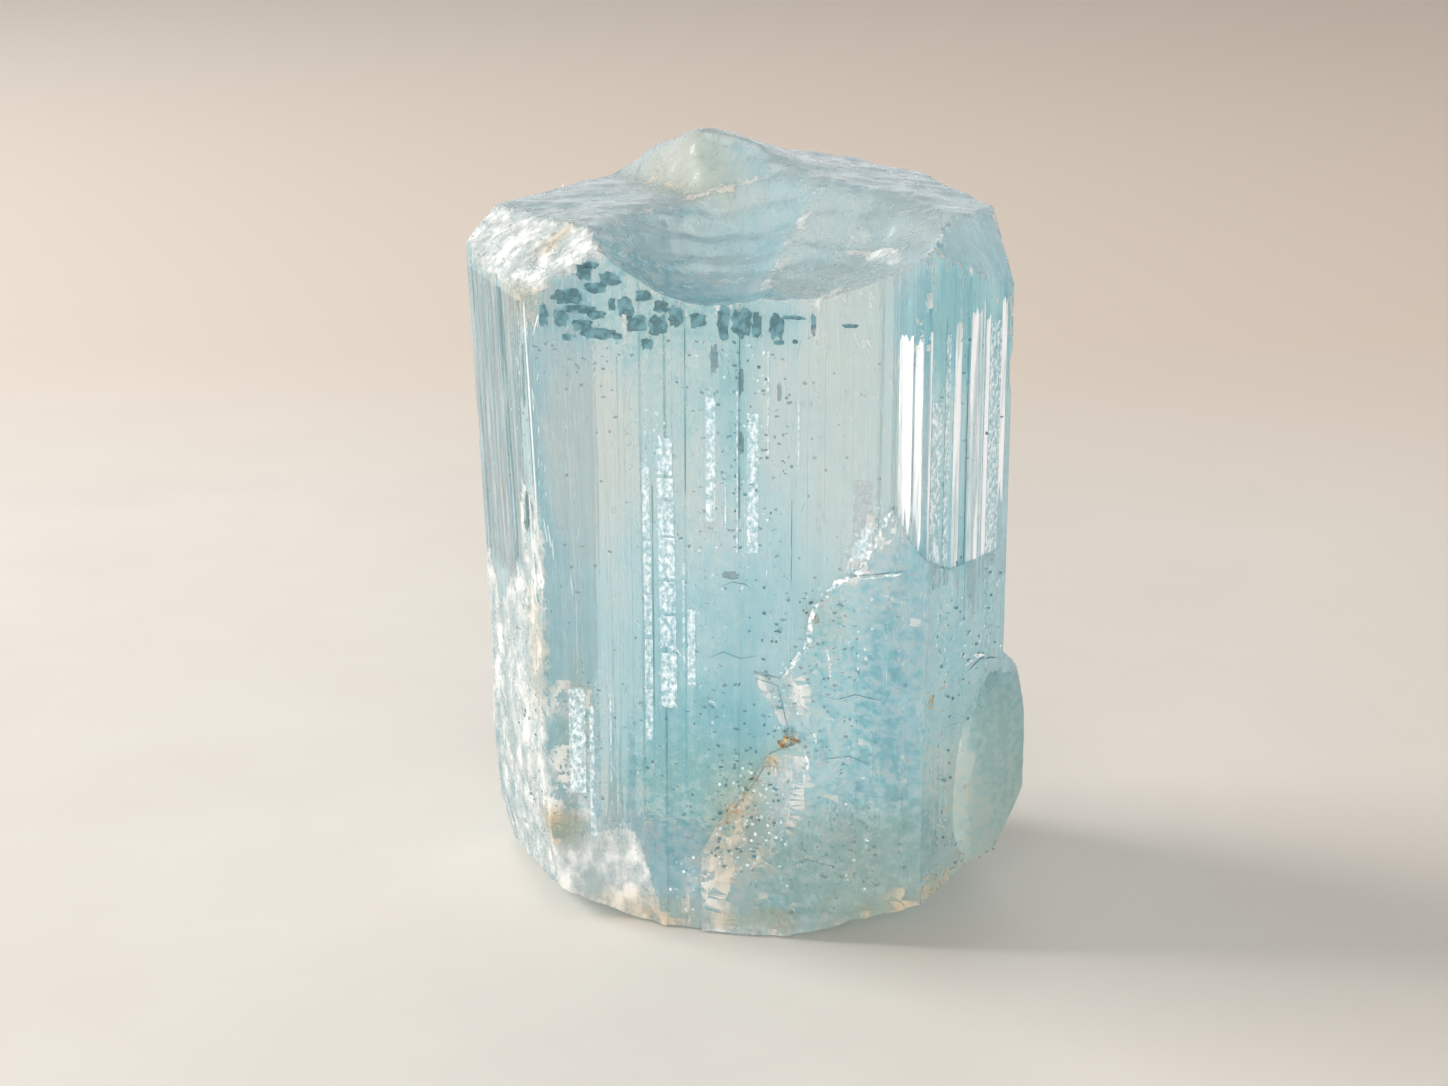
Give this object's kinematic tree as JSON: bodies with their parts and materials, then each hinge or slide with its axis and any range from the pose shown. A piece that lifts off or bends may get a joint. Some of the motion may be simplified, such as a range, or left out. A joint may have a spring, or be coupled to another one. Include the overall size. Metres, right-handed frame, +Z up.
{
  "type": "aquamarine crystal",
  "caption": "Raw aquamarine: a stubby clear blue beryl prism with striated faces, a broken top and a chipped, stained foot.",
  "frame": {"origin": "middle of the box of the crystal, at the level of the foot that it rests on", "axes": "+Z up along the crystal's long axis, -Y towards the broad front face, +X to the right as seen from the front"},
  "size_m": [0.0368, 0.028, 0.0494],
  "materials": {
    "aquamarine": "clear pale blue beryl, glassy on the long faces, frosted and iron-stained on the breaks"
  },
  "bodies": {
    "root": {"aquamarine_crystal": "aquamarine"}
  },
  "joints": []
}
